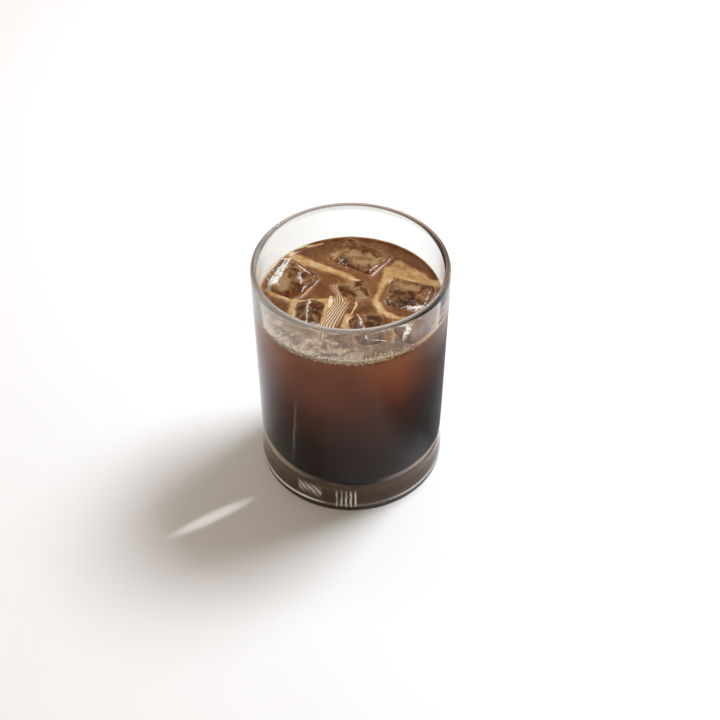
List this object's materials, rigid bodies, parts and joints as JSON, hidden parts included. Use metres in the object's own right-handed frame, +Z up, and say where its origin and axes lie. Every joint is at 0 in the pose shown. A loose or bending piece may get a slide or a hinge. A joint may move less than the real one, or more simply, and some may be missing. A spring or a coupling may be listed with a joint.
{
  "type": "cup of americano",
  "caption": "Iced black coffee with a thin tan crema and floating ice cubes in a clear, heavy-footed, straight-sided glass tumbler.",
  "frame": {"origin": "middle of the glass's foot, on the surface that it stands on", "axes": "+Z up along the axis of the glass; -Y towards the viewer of the picture, +X to the viewer's right"},
  "size_m": [0.08, 0.08, 0.107],
  "materials": {
    "glass": "clear polished soda glass",
    "coffee": "still dark brown liquid, paler and browner near the top",
    "crema": "wet tan film with fine bubbles",
    "ice": "wet clear ice with white frost inside"
  },
  "bodies": {
    "root": {"tumbler": "glass", "coffee": "coffee", "crema": "crema", "ice_left": "ice", "ice_back": "ice", "ice_right": "ice", "ice_front_left": "ice", "ice_front_right": "ice", "ice_middle": "ice", "ice_small": "ice"}
  },
  "joints": []
}
